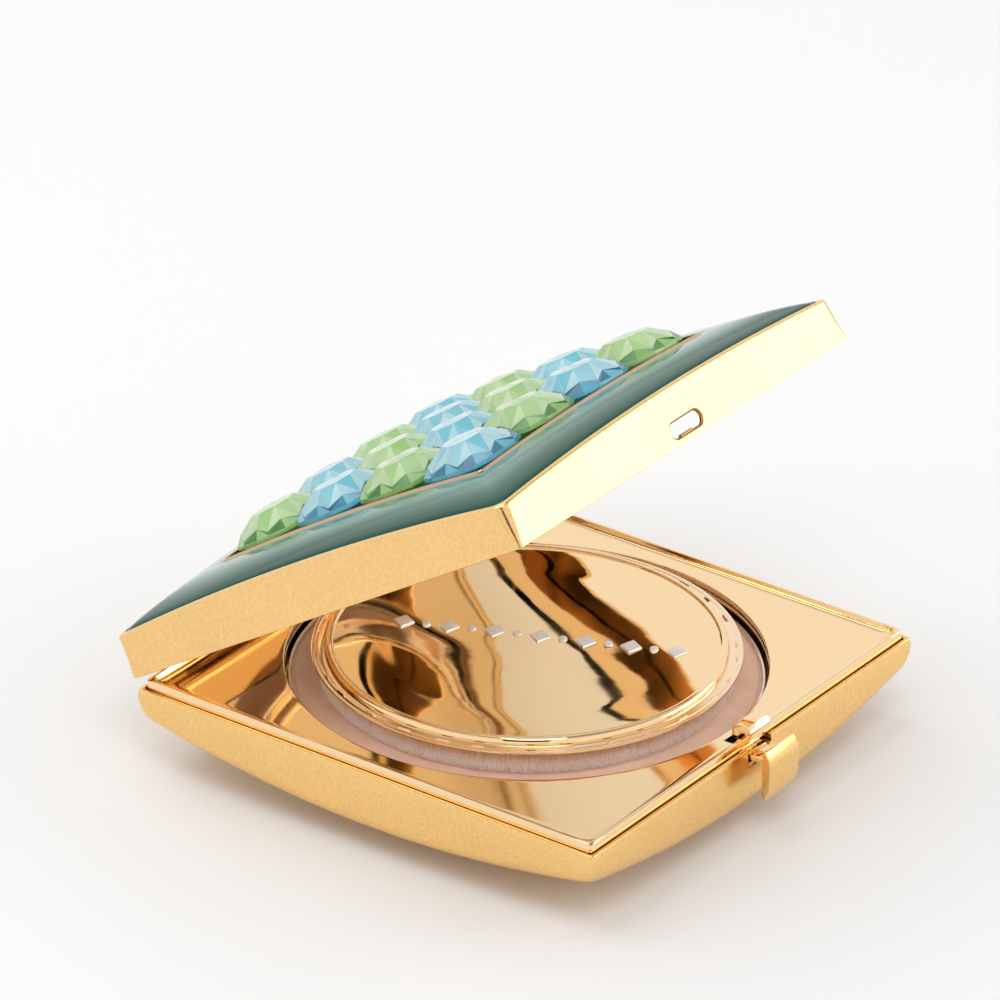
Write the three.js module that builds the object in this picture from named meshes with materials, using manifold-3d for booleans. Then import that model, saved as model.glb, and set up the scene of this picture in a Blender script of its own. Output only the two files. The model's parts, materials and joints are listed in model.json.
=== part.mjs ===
// A square powder compact, open: a domed gold base with a latch, a powder pan and a puff, and a hinged lid
// set with sixteen crystals. Millimetres, +Z up, latch towards -Y, hinge towards +Y.
// The origin is the middle of the flat under the base, which stands on z = 0.

import * as THREE from 'three';
import { mergeVertices } from 'three/addons/utils/BufferGeometryUtils.js';
import { ConvexGeometry } from 'three/addons/geometries/ConvexGeometry.js';
import Module from 'manifold-3d';

const wasm = await Module();
wasm.setup();

// ---- overall sizes ----
const SIDE = 66; // outer side of the base and of the lid, seen from above
const BASE_DEPTH = 7.4; // rim of the base down to its lower edge, at the middle of a side
const BASE_DOME = 145; // radius of the domed underside
const FLAT = 16; // side of the flat that the base stands on
const LID_HEIGHT = 6.85; // lower edge of the lid up to its shoulder, at the middle of a side
const LID_DROP = 1.4; // how much lower the lid's shoulder is at a corner than at the middle of a side
const LID_OPEN = 32.6; // degrees that the lid stands open at rest

// ---- sheet metal ----
const SHEET = 0.6; // walls of the base and lid
const EDGE = 0.5; // radius of an upright corner at the rim
const CUSHION = 1.5; // radius of the same corner where the wall meets the dome
const LID_RIM = 0.7; // bare metal between the lid's wall and the enamel
const FIT = 0.3; // room between pieces that slide past or rest on each other
const SNUG = 0.1; // room between pieces that are pressed or glued together

// ---- tray, pan and puff ----
const PLATE_RISE = 0.5; // top of the tray's plate above the rim
const LIP_RISE = 1.2; // top of the tray's upturned lip above the rim
const TRAY_SHEET = 0.6;
const WELL = 57.4; // bore of the round well
const WELL_UNDER = 1.75; // room between the well and the base shell below it
const FLOOR_HOLE = 16; // hole in the floor of the well, through which a spent pan is pushed out
const PAN_SHEET = 0.4;
const PAN_ROOM = 0.4; // pan to well, all round
const POWDER_LOW = 0.2; // powder below the pan's edge
const PUFF_ROOM = 3.1; // puff's flange to well, all round
const PILE_IN = 0.9; // fullest part of the pile in from the flange's edge
const PILE_THICK = 3.0;
const PILE_TUCK = 1.2; // how far the pile's lower edge tucks in
const FLANGE = 0.3; // thickness of the puff's flange
const PANEL_IN = 2.7; // raised middle of the puff's cover in from the flange's edge
const PANEL_RISE = 0.9;
const RIDGE = 1.1; // width of the rounded ridge round the panel

// ---- latch ----
const LATCH_X = 0.9; // the latch sits a little to one side
const LATCH_IN = 1.9; // latch pin in from the outer face of the wall
const LATCH_DOWN = 1.4; // latch pin below the rim
const PIN = 0.8; // diameter of the latch pin
const HOOK_WIDE = 4.2;
const HOOK_THICK = 0.7;
const NOSE_LOW = 1.5; // underside of the hook's nose above the rim
const NOSE_THICK = 1.2;
const THUMB_WIDE = 6;
const THUMB_TALL = 6.5;
const THUMB_THICK = 1.0;
const THUMB_TOP = 0.9; // top of the thumb piece above the rim
const THUMB_OUT = 2.2; // inner face of the thumb piece out from the wall
const SLOT_WIDE = 6.5; // slot in the lid's front wall
const SLOT_TALL = 2.4;
const CHEEK = 0.5; // sheet of the latch bracket

// ---- hinge ----
const KNUCKLE = 2.4; // diameter of a knuckle
const KNUCKLES = 5;
const KNUCKLE_LONG = 6;
const HINGE_PIN = 1.1;
const LEAF = 0.4; // thickness of a hinge leaf
const LEAF_TALL = 3;

// ---- lid ----
const BORDER = 10.9; // width of the border round the crystals' bezel
const BEZEL = 0.5; // width of the bezel
const CROWN = 1.15; // rise of the border from its outer edge to the bezel
const ENAMEL = 0.9; // thickness of the enamel
const FRAME_DOWN = 3.95; // underside of the mirror frame below the lid's shoulder
const FRAME_SHEET = 0.5;
const MIRROR_IN = 6; // edge of the mirror in from the side of the lid
const MIRROR_THICK = 1.2;
const REBATE = 0.7; // how far the frame overlaps the mirror
const PAD = 0.4;
const GEMS = 4; // crystals along a side of the field
const GEM_GAP = 0.3;
const GEM_TOP = 2.75; // crown of a crystal above its girdle
const GIRDLE = 0.5;

// ---- what follows from them ----
const HALF = SIDE / 2;
const WALL_IN = HALF - SHEET;
const flatReach = (FLAT / 2) * Math.SQRT2 * 1.01;
const baseRise = (x, y) => Math.max(0, (x * x + y * y - flatReach ** 2) / (2 * BASE_DOME));
const RIM = BASE_DEPTH + baseRise(HALF, 0);
const LIP_OUT = WALL_IN - FIT;
const PLATE_TOP = RIM + PLATE_RISE;
const lidBase = RIM + FIT;
const FIELD = SIDE - 2 * BORDER;
const domeDrop = (x, y) => (LID_DROP * (x * x + y * y - HALF * HALF)) / (HALF * HALF);
const FRAME_UP = LID_HEIGHT - FRAME_DOWN;
const MIRROR = SIDE - 2 * MIRROR_IN;
const wellR = WELL / 2;
const wellFloor = SHEET + baseRise(wellR + TRAY_SHEET, 0) + WELL_UNDER + TRAY_SHEET;
const panR = wellR - PAN_ROOM;
const puffR = wellR - PUFF_ROOM;
const panelR = puffR - PANEL_IN;
const pileR = puffR - PILE_IN;
const coverBase = lidBase + FRAME_UP - FIT - PANEL_RISE - FLANGE + 0.2;
const pileBase = coverBase - SNUG - PILE_THICK;
const powderTop = pileBase - SNUG;
const panTop = powderTop + POWDER_LOW;
const pivotY = -(HALF - LATCH_IN);
const pivotZ = RIM - LATCH_DOWN;
const HINGE_OUT = KNUCKLE / 2 + FIT;
const hingeY = HALF + HINGE_OUT;
const hingeZ = RIM + FIT / 2;

const object = new THREE.Group();
const base = new THREE.Group();
const puff = new THREE.Group();
const latch = new THREE.Group();
const lid = new THREE.Group();
latch.position.set(LATCH_X, pivotY, pivotZ);
lid.position.set(0, hingeY, hingeZ);
lid.rotation.x = THREE.MathUtils.degToRad(-LID_OPEN);
object.add(base, puff, latch, lid);

const GOLD = { color: 0xe3b560, roughness: 0.28, metalness: 1 };
const BRIGHT_GOLD = { color: 0xf0cf96, roughness: 0.08, metalness: 1 };
const finishes = {
  satinGold: GOLD,
  brightGold: BRIGHT_GOLD,
  steel: { color: 0xb8b8b4, roughness: 0.35, metalness: 1 },
  tin: { color: 0xd5d0c8, roughness: 0.4, metalness: 1 },
  powder: { color: 0xe0b69c, roughness: 0.95, metalness: 0 },
  velour: { color: 0xcfae8e, roughness: 1, metalness: 0 },
  enamel: { color: 0x4f8f80, roughness: 0.12, metalness: 0 },
  mirror: { color: 0xe8ecee, roughness: 0.02, metalness: 1 },
  card: { color: 0x6b655c, roughness: 0.95, metalness: 0 },
  green: { color: 0xa9d68a, roughness: 0.03, metalness: 0 },
  blue: { color: 0x7cc9e6, roughness: 0.03, metalness: 0 },
};

function place(group, name, geometry, finish) {
  const mesh = new THREE.Mesh(geometry, new THREE.MeshStandardMaterial(finishes[finish]));
  mesh.name = name;
  group.add(mesh);
  return mesh;
}

// ---- solids ----

function welded(geometry) {
  const plain = geometry.clone();
  for (const name of Object.keys(plain.attributes)) if (name !== 'position') plain.deleteAttribute(name);
  const merged = mergeVertices(plain, 1e-5);
  const kept = [];
  const index = merged.index.array;
  for (let i = 0; i < index.length; i += 3) {
    const [a, b, c] = [index[i], index[i + 1], index[i + 2]];
    if (a !== b && b !== c && c !== a) kept.push(a, b, c);
  }
  merged.setIndex(kept);
  return merged;
}

function solid(geometry) {
  const closed = welded(geometry);
  const mesh = new wasm.Mesh({
    numProp: 3,
    vertProperties: new Float32Array(closed.attributes.position.array),
    triVerts: new Uint32Array(closed.index.array),
  });
  return new wasm.Manifold(mesh);
}

function shaped(manifold) {
  const { vertProperties, triVerts } = manifold.getMesh();
  const geometry = new THREE.BufferGeometry();
  geometry.setAttribute('position', new THREE.BufferAttribute(new Float32Array(vertProperties), 3));
  geometry.setIndex(new THREE.BufferAttribute(new Uint32Array(triVerts), 1));
  return geometry;
}

const moved = (geometry, x, y, z) => geometry.translate(x, y, z);
const box = (wide, deep, tall) => new THREE.BoxGeometry(wide, deep, tall);
const rod = (radius, long, sides) =>
  new THREE.CylinderGeometry(radius, radius, long, sides).rotateZ(Math.PI / 2);

// A plate cut to an outline in Y and Z, centred on x = 0.
function cutAcross(shape, wide, curveSegments = 6) {
  return new THREE.ExtrudeGeometry(shape, { depth: wide, bevelEnabled: false, curveSegments })
    .rotateY(Math.PI / 2)
    .rotateX(Math.PI / 2)
    .translate(-wide / 2, 0, 0);
}

// Distance from the middle to the edge of a square with rounded corners.
function squareReach(half, corner, angle) {
  let [u, v] = [Math.abs(Math.cos(angle)), Math.abs(Math.sin(angle))];
  if (v > u) [u, v] = [v, u];
  const straight = half / u;
  if (straight * v <= half - corner) return straight;
  const k = half - corner;
  const across = k * (u + v);
  return across + Math.sqrt(across * across - 2 * k * k + corner * corner);
}

// Angles round a square: even steps along each side, then where each corner radius starts and bends.
function squareAngles(half, corners, steps) {
  const widest = Math.max(...corners);
  const bends = corners.map((r) => Math.atan2(half - r, half));
  const partWay = Math.PI / 8;
  bends.push(Math.atan2(half - widest * (1 - Math.sin(partWay)), half - widest * (1 - Math.cos(partWay))));
  bends.sort((a, b) => a - b);
  const side = [];
  for (let i = 0; i < steps; i++) side.push(Math.atan(Math.tan(bends[0]) * ((2 * i) / steps - 1)));
  const back = bends.slice(1).reverse();
  side.push(...bends, Math.PI / 4, ...back.map((a) => Math.PI / 2 - a));
  const angles = [];
  for (let turn = 0; turn < 4; turn++) for (const a of side) angles.push(a + (turn * Math.PI) / 2);
  return angles.concat(angles[0] + 2 * Math.PI);
}

// A turned form made square: each ring of the profile is a rounded square of that half-width.
// A profile point is [half, height, corner radius, share of the dome].
function squareTurned(profile, drop, { outer = HALF, corners = [CUSHION, EDGE], steps = 8 } = {}) {
  const angles = squareAngles(outer, corners, steps);
  const points = profile.map(([half, height]) => new THREE.Vector2(half, height));
  const geometry = new THREE.LatheGeometry(points, angles.length - 1);
  const at = geometry.attributes.position;
  for (let i = 0; i < at.count; i++) {
    const [half, height, round = 0, share = 0] = profile[i % profile.length];
    const angle = angles[Math.floor(i / profile.length)];
    const reach = half > 0 ? squareReach(half, Math.min(round, half), angle) : 0;
    const [x, y] = [reach * Math.cos(angle), reach * Math.sin(angle)];
    at.setXYZ(i, x, y, height - share * drop(x, y));
  }
  const closed = welded(geometry);
  return volumeOf(closed) < 0 ? turnedOut(closed) : closed;
}

function volumeOf(geometry) {
  const [a, b, c] = [new THREE.Vector3(), new THREE.Vector3(), new THREE.Vector3()];
  const { index, attributes } = geometry;
  let sum = 0;
  for (let i = 0; i < index.count; i += 3) {
    a.fromBufferAttribute(attributes.position, index.getX(i));
    b.fromBufferAttribute(attributes.position, index.getX(i + 1));
    c.fromBufferAttribute(attributes.position, index.getX(i + 2));
    sum += a.dot(b.cross(c));
  }
  return sum / 6;
}

function turnedOut(geometry) {
  const index = Array.from(geometry.index.array);
  for (let i = 0; i < index.length; i += 3) [index[i + 1], index[i + 2]] = [index[i + 2], index[i + 1]];
  geometry.setIndex(index);
  return geometry;
}

// A round turned form: the profile runs in [radius, height] and stands along Z.
function turned(profile, segments = 48) {
  const points = profile.map(([radius, height]) => new THREE.Vector2(radius, height));
  const closed = welded(new THREE.LatheGeometry(points, segments).rotateX(Math.PI / 2));
  return volumeOf(closed) < 0 ? turnedOut(closed) : closed;
}

// ---- base ----

function baseShell() {
  const rings = [0, FLAT / 4, FLAT / 2, 0.36 * SIDE, 0.44 * SIDE];
  const drop = (x, y) => -baseRise(x, y);
  const skin = (half, floor, top) => [
    ...rings.filter((r) => r < half - CUSHION).map((r) => [r, floor, 0, 1]),
    [half - 0.9, floor, CUSHION, 1],
    [half, floor + 0.9, CUSHION, 1],
    [half, RIM - 2.1, EDGE * 2, 0],
    [half, top, EDGE, 0],
    [0, top, 0, 0],
  ];
  const hull = solid(squareTurned(skin(HALF, 0, RIM), drop));
  const hollow = solid(squareTurned(skin(WALL_IN, SHEET, RIM + 1), drop));
  const gateTall = LATCH_DOWN + 1;
  const gate = box(HOOK_WIDE + 4 * FIT, 4 * SHEET, 2 * gateTall);
  return shaped(hull.subtract(hollow).subtract(solid(moved(gate, LATCH_X, -HALF, RIM))));
}

function innerTray() {
  const [lipIn, low] = [LIP_OUT - TRAY_SHEET, PLATE_TOP - TRAY_SHEET];
  const lipTop = RIM + LIP_RISE;
  const plate = solid(
    squareTurned([
      [0, low],
      [LIP_OUT, low, EDGE],
      [LIP_OUT, lipTop - 0.2, EDGE],
      [LIP_OUT - TRAY_SHEET / 2, lipTop, EDGE],
      [lipIn, lipTop - 0.2, EDGE],
      [lipIn - 0.2, PLATE_TOP, EDGE],
      [0, PLATE_TOP],
    ], () => 0, { outer: LIP_OUT, corners: [EDGE], steps: 1 }),
  );
  const cupBase = wellFloor - TRAY_SHEET;
  const cup = solid(turned([[0, cupBase], [wellR + TRAY_SHEET, cupBase], [wellR + TRAY_SHEET, low + 0.1],
    [0, low + 0.1]]));
  const bore = solid(turned([[0, wellFloor], [wellR, wellFloor], [wellR, PLATE_TOP - 0.3],
    [wellR + 0.3, PLATE_TOP], [wellR + 0.3, PLATE_TOP + 1], [0, PLATE_TOP + 1]]));
  const floorHole = solid(moved(new THREE.CylinderGeometry(FLOOR_HOLE / 2, FLOOR_HOLE / 2, 3, 24)
    .rotateX(Math.PI / 2), 0, 0, cupBase));
  const notchDeep = lipIn - wellR - TRAY_SHEET - 0.05;
  const notch = box(THUMB_WIDE, notchDeep, 2);
  moved(notch, LATCH_X, -(lipIn - notchDeep / 2) - 0.01, PLATE_TOP);
  return shaped(plate.add(cup).subtract(bore).subtract(floorHole).subtract(solid(notch)));
}

function powderPan() {
  return turned([[0, wellFloor], [panR, wellFloor], [panR, panTop], [panR - PAN_SHEET, panTop],
    [panR - PAN_SHEET, wellFloor + PAN_SHEET], [0, wellFloor + PAN_SHEET]]);
}

function powderCake() {
  const [low, r] = [wellFloor + PAN_SHEET + 0.01, panR - PAN_SHEET - 0.02];
  return turned([[0, low], [r, low], [r, powderTop - 0.3], [r - 0.4, powderTop], [0, powderTop]]);
}

// ---- puff ----

function puffPile() {
  const r = pileR;
  const [low, top] = [pileBase, pileBase + PILE_THICK];
  return turned([[0, low], [r - PILE_TUCK, low], [r - 0.6, low + 0.7], [r, low + 0.45 * PILE_THICK],
    [r - 0.2, top - 0.4], [r - 0.6, top], [0, top]]);
}

function puffCover() {
  const [r, rise] = [panelR, coverBase + FLANGE];
  return turned([[0, coverBase], [puffR, coverBase], [puffR, rise], [r + RIDGE, rise],
    [r + RIDGE / 2, rise + PANEL_RISE], [r, rise + PANEL_RISE], [r - RIDGE / 2, rise + PANEL_RISE - 0.2],
    [0, rise + PANEL_RISE - 0.2]]);
}

// ---- latch, drawn round its pin ----

function catchHook() {
  const boss = HOOK_THICK / 2 + PIN / 2 + 0.1;
  const riser = 0.2 + HOOK_THICK;
  const noseLow = LATCH_DOWN + NOSE_LOW;
  const noseTop = noseLow + NOSE_THICK;
  const tip = -(LATCH_IN - 0.1);
  const outline = new THREE.Shape();
  outline.moveTo(0.2 - HOOK_THICK / 2, 0);
  outline.lineTo(0.2 - HOOK_THICK / 2, noseLow);
  outline.lineTo(tip, noseLow);
  outline.lineTo(tip, noseLow + 0.35);
  outline.lineTo(tip + 0.7, noseTop);
  outline.lineTo(riser - 0.5, noseTop);
  outline.lineTo(riser - 0.15, noseTop - 0.4);
  outline.lineTo(riser - 0.15, 0);
  outline.closePath();
  const armLong = LATCH_IN + THUMB_OUT;
  const arm = moved(box(HOOK_WIDE, armLong, HOOK_THICK), 0, -armLong / 2, HOOK_THICK / 2);
  const eye = rod(PIN / 2 + 0.1, HOOK_WIDE * 2, 16);
  return shaped(
    solid(cutAcross(outline, HOOK_WIDE)).add(solid(arm)).add(solid(rod(boss, HOOK_WIDE, 16)))
      .subtract(solid(eye)),
  );
}

function thumbPiece() {
  const outline = new THREE.Shape();
  const inner = -(LATCH_IN + THUMB_OUT);
  const outer = inner - THUMB_THICK;
  const [top, low] = [LATCH_DOWN + THUMB_TOP, LATCH_DOWN + THUMB_TOP - THUMB_TALL];
  outline.moveTo(inner, low + 0.4);
  outline.lineTo(inner, top - 0.2);
  outline.lineTo(inner - 0.3, top);
  outline.quadraticCurveTo(outer, top, outer - 0.1, top - 0.9);
  outline.quadraticCurveTo(outer - 0.35, (top + low) / 2, outer, low + 0.7);
  outline.quadraticCurveTo(outer + 0.1, low, (inner + outer) / 2, low);
  outline.closePath();
  return cutAcross(outline, THUMB_WIDE, 4);
}

function latchBracket() {
  const [outY, inY] = [LATCH_IN - SHEET - FIT, 1.1];
  const inside = HOOK_WIDE / 2 + FIT;
  const [low, top] = [-(LATCH_DOWN + 1.2), LATCH_DOWN - 0.4];
  const deep = outY + inY;
  const midY = (inY - outY) / 2;
  const cheek = (side) =>
    solid(moved(box(CHEEK, deep, top - low), side * (inside + CHEEK / 2), midY, (top + low) / 2));
  const web = solid(moved(box(2 * inside + 0.2, deep, CHEEK), 0, midY, low + CHEEK / 2));
  return moved(
    shaped(cheek(1).add(cheek(-1)).add(web).subtract(solid(rod(PIN / 2 + 0.1, SIDE / 4, 16)))),
    LATCH_X, pivotY, pivotZ,
  );
}

function latchPin() {
  const long = HOOK_WIDE + 2 * FIT + 2 * CHEEK + 0.6;
  return moved(rod(PIN / 2, long, 16), LATCH_X, pivotY, pivotZ);
}

// A bent strip between the bracket's web and the hook's boss.
function latchSpring() {
  const low = -(LATCH_DOWN + 1.2) + CHEEK + SNUG;
  const strip = 0.2;
  const outline = new THREE.Shape();
  outline.moveTo(-0.9, low);
  outline.lineTo(0.9, low);
  outline.quadraticCurveTo(1.05, low + 0.35, 0.7, low + 0.7);
  outline.lineTo(0.55, low + 0.7 - strip / 2);
  outline.quadraticCurveTo(0.8, low + 0.35, 0.7, low + strip);
  outline.lineTo(-0.9, low + strip);
  outline.closePath();
  return moved(cutAcross(outline, HOOK_WIDE - 1, 4), LATCH_X, pivotY, pivotZ);
}

// ---- hinge ----

const hingeLong = KNUCKLES * KNUCKLE_LONG;
const knuckleX = (i) => -hingeLong / 2 + (i + 0.5) * KNUCKLE_LONG;

// One leaf round the hinge axis: `first` picks its knuckles, and `up` is 1 for the lid and -1 for the base.
function hingeLeaf(first, up) {
  const reach = HINGE_OUT - SNUG;
  const foot = 0.32 * KNUCKLE;
  let leaf = solid(moved(box(hingeLong, LEAF, LEAF_TALL), 0, -reach + LEAF / 2, up * (foot + LEAF_TALL / 2)));
  for (let i = first; i < KNUCKLES; i += 2) {
    const long = KNUCKLE_LONG - SNUG * 2;
    const arm = box(long, reach, LEAF * 2);
    leaf = leaf.add(solid(moved(rod(KNUCKLE / 2, long, 20), knuckleX(i), 0, 0)));
    leaf = leaf.add(solid(moved(arm, knuckleX(i), -reach / 2, up * (foot + LEAF / 2))));
  }
  return leaf.subtract(solid(rod(HINGE_PIN / 2 + SNUG, hingeLong + 4, 16)));
}

// ---- lid, drawn closed and then moved so that the hinge axis is the group's origin ----

const crownAt = (half) => {
  const out = HALF - LID_RIM;
  const t = Math.min(1, Math.max(0, (out - half) / (out - FIELD / 2)));
  return CROWN * Math.sin((t * Math.PI) / 2);
};
const seatTop = LID_HEIGHT - ENAMEL - 0.15 + CROWN; // metal under the crystals, before the dome

function lidShell() {
  const border = [1, 0.75, 0.5, 0.25, 0].map((t) => FIELD / 2 + t * (HALF - LID_RIM - 0.1 - FIELD / 2));
  const under = LID_HEIGHT - ENAMEL - 0.15;
  const wall = [[0, EDGE], [0.24, EDGE * 1.6], [0.5, CUSHION * 0.6], [0.72, CUSHION]];
  const outside = [
    [0, seatTop, 0, 1],
    [FIELD / 4, seatTop, 1, 1],
    ...border.slice().reverse().map((half) => [half, under + crownAt(half), CUSHION * 0.7, 1]),
    [HALF - LID_RIM, LID_HEIGHT - 0.1, CUSHION, 1],
    [HALF - 0.25, LID_HEIGHT - 0.12, CUSHION, 1],
    [HALF, LID_HEIGHT - 0.5, CUSHION, 1],
    ...wall.slice().reverse().map(([share, round]) => [HALF, share * LID_HEIGHT, round, share]),
  ];
  const inside = [
    [WALL_IN, 0, EDGE, 0],
    [WALL_IN, 0.24 * LID_HEIGHT, EDGE * 1.2, 0.24],
    [WALL_IN, LID_HEIGHT - 2.2, CUSHION * 0.8, 0.72],
    ...border.map((half) => [half - SHEET / 2, under + crownAt(half) - SHEET, CUSHION * 0.7, 1]),
    [FIELD / 4, seatTop - SHEET, 1, 1],
    [0, seatTop - SHEET, 0, 1],
  ];
  const shell = solid(squareTurned([...outside, ...inside], domeDrop));
  const end = (SLOT_WIDE - SLOT_TALL) / 2;
  const cutter = (x) =>
    solid(moved(new THREE.CylinderGeometry(SLOT_TALL / 2, SLOT_TALL / 2, 4, 16), x, -HALF, slotZ));
  const slotZ = NOSE_LOW + NOSE_THICK / 2 - FIT;
  const middle = solid(moved(box(2 * end, 4, SLOT_TALL), LATCH_X, -HALF, slotZ));
  return shaped(shell.subtract(middle).subtract(cutter(LATCH_X - end)).subtract(cutter(LATCH_X + end)));
}

function enamelBorder() {
  const [inner, outer] = [FIELD / 2 + FIT, HALF - LID_RIM - FIT];
  const step = (outer - inner) / 5;
  const halves = [0, 1, 2, 3, 4, 5].map((i) => inner + i * step);
  const low = LID_HEIGHT - ENAMEL - 0.15 + FIT;
  const above = (half) => LID_HEIGHT - 0.1 + crownAt(half);
  const top = halves.map((half, i) => [half, above(half) - (i === 5 ? 0.25 : 0), CUSHION * 0.7, 1]);
  const under = halves.slice().reverse().map((half) => [half, low + crownAt(half), CUSHION * 0.7, 1]);
  return squareTurned([...top, ...under, top[0]], domeDrop, { outer });
}

const gemFloor = seatTop + FIT; // underside of the crystals' tray, before the dome

function gemTray() {
  const half = FIELD / 2 - BEZEL - SNUG;
  const top = gemFloor + 0.4;
  return squareTurned([[0, gemFloor, 0, 1], [half / 2, gemFloor, 0.5, 1], [half, gemFloor, 0.5, 1],
    [half, top, 0.5, 1], [half / 2, top, 0.5, 1], [0, top, 0, 1]], domeDrop, { outer: half, corners: [0.5] });
}

function gemBezel() {
  const [outer, inner] = [FIELD / 2, FIELD / 2 - BEZEL];
  const top = LID_HEIGHT + CROWN + 0.1;
  return squareTurned([[inner, gemFloor, 0.4, 1], [outer, gemFloor, 0.5, 1], [outer, top, 0.5, 1],
    [inner, top, 0.4, 1], [inner, gemFloor, 0.4, 1]], domeDrop, { outer, corners: [0.5] });
}

// A square crystal: a girdle, eight points round it, a ring of shoulders, a ring near the top and the top.
const gemPitch = (FIELD - 2 * BEZEL - 2 * SNUG) / GEMS;

function crystal() {
  const half = (gemPitch - GEM_GAP) / 2;
  const points = [new THREE.Vector3(0, 0, GEM_TOP)];
  const ring = (count, turn, reach, z) => {
    for (let i = 0; i < count; i++) {
      const angle = ((i + turn) * 2 * Math.PI) / count;
      const r = typeof reach === 'number' ? reach : reach(angle);
      points.push(new THREE.Vector3(r * Math.cos(angle), r * Math.sin(angle), z));
    }
  };
  const edge = (angle) => squareReach(half, half * 0.1, angle);
  ring(8, 0, half * 0.45, GEM_TOP * 0.93);
  ring(8, 0.5, half * 0.83, GEM_TOP * 0.65);
  ring(8, 0, edge, GEM_TOP * 0.05);
  ring(16, 0.5, edge, 0);
  ring(16, 0.5, edge, -GIRDLE);
  return new ConvexGeometry(points);
}

function mirrorFrame() {
  const [outer, inner] = [WALL_IN - FIT, MIRROR / 2 - REBATE];
  const top = FRAME_UP + FRAME_SHEET;
  const frame = squareTurned([[inner, FRAME_UP, 2], [outer, FRAME_UP, 1.5], [outer, top, 1.5], [inner, top, 2],
    [inner, FRAME_UP, 2]], () => 0, { outer, corners: [2], steps: 1 });
  const deep = LATCH_IN + HOOK_THICK + SHEET;
  const gap = moved(box(HOOK_WIDE + 4 * FIT, 2 * deep, 4 * FRAME_SHEET), LATCH_X, -HALF, top);
  return shaped(solid(frame).subtract(solid(gap)));
}

function slab(side, thick, low, corner) {
  const half = side / 2;
  return squareTurned([[0, low], [half, low, corner], [half, low + thick, corner], [0, low + thick]],
    () => 0, { outer: half, corners: [corner], steps: 1 });
}

// ---- assembly ----

place(base, 'base_shell', baseShell(), 'satinGold');
place(base, 'inner_tray', innerTray(), 'brightGold');
place(base, 'powder_pan', powderPan(), 'tin');
place(base, 'powder_cake', powderCake(), 'powder');
place(base, 'latch_bracket', latchBracket(), 'brightGold');
place(base, 'latch_pin', latchPin(), 'steel');
place(base, 'latch_spring', latchSpring(), 'steel');
place(base, 'hinge_base_leaf', moved(shaped(hingeLeaf(0, -1)), 0, hingeY, hingeZ), 'satinGold');
place(base, 'hinge_pin', moved(rod(HINGE_PIN / 2, hingeLong + 0.6, 16), 0, hingeY, hingeZ), 'steel');

place(puff, 'puff_pile', puffPile(), 'velour');
place(puff, 'puff_cover', puffCover(), 'brightGold');

place(latch, 'catch_hook', catchHook(), 'brightGold');
place(latch, 'thumb_piece', thumbPiece(), 'satinGold');

const closed = new THREE.Group();
closed.position.set(0, -hingeY, lidBase - hingeZ);
lid.add(closed);
place(closed, 'lid_shell', lidShell(), 'satinGold');
place(closed, 'enamel_border', enamelBorder(), 'enamel');
place(closed, 'gem_tray', gemTray(), 'brightGold');
place(closed, 'gem_bezel', gemBezel(), 'brightGold');
place(closed, 'mirror_frame', mirrorFrame(), 'brightGold');
const mirrorLow = FRAME_UP + FRAME_SHEET + SNUG;
place(closed, 'mirror_glass', slab(MIRROR, MIRROR_THICK, mirrorLow, 3), 'mirror');
place(closed, 'mirror_pad', slab(MIRROR - 4, PAD, mirrorLow + MIRROR_THICK + SNUG, 3), 'card');
place(lid, 'hinge_lid_leaf', shaped(hingeLeaf(1, 1)), 'satinGold');

const lean = (2 * LID_DROP) / (HALF * HALF);
for (let row = 0; row < GEMS; row++) {
  for (let column = 0; column < GEMS; column++) {
    const colour = (row + column) % 2 === (GEMS - 1) % 2 ? 'green' : 'blue';
    const [x, y] = [column, row].map((i) => (i - (GEMS - 1) / 2) * gemPitch);
    const gem = place(closed, `gem_${row + 1}_${column + 1}_${colour}`, crystal(), colour);
    gem.position.set(x, y, gemFloor + 0.4 + FIT + GIRDLE - domeDrop(x, y));
    gem.rotation.set(-y * lean, x * lean, 0);
  }
}

export default object;
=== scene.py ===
# The visual model of a square powder compact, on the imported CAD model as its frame. Metres, +Z up.

import json
import math

import bpy
import numpy as np
from mathutils import Matrix, Vector


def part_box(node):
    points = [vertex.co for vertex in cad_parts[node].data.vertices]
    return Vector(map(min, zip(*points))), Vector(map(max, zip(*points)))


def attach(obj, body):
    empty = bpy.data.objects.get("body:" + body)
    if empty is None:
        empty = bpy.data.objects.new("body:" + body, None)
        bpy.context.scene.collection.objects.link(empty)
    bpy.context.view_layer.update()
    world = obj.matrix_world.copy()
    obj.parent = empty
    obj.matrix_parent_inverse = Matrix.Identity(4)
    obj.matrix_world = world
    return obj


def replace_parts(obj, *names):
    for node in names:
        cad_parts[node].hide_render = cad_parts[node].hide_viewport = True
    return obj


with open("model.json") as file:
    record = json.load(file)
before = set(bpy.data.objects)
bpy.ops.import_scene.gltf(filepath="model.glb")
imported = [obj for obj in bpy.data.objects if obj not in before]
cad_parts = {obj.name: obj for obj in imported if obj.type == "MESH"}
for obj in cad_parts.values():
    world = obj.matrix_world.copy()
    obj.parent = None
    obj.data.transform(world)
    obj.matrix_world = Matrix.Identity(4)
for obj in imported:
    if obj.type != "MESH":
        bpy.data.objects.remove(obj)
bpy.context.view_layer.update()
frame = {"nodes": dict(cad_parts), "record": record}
record = frame["record"]
MM = 0.001

# ---- places and sizes, some read from the frame, some given ----


def corners(node):
    low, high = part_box(node)
    return np.array(low), np.array(high)


def joint(name):
    return next(j for j in record["behaviour"]["joints"] if j["name"] == name)


shell_low, shell_high = corners("base_shell")
tray_low, tray_high = corners("inner_tray")
cake_low, cake_high = corners("powder_cake")
pan_low, pan_high = corners("powder_pan")
pile_low, pile_high = corners("puff_pile")
cover_low, cover_high = corners("puff_cover")

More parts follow.
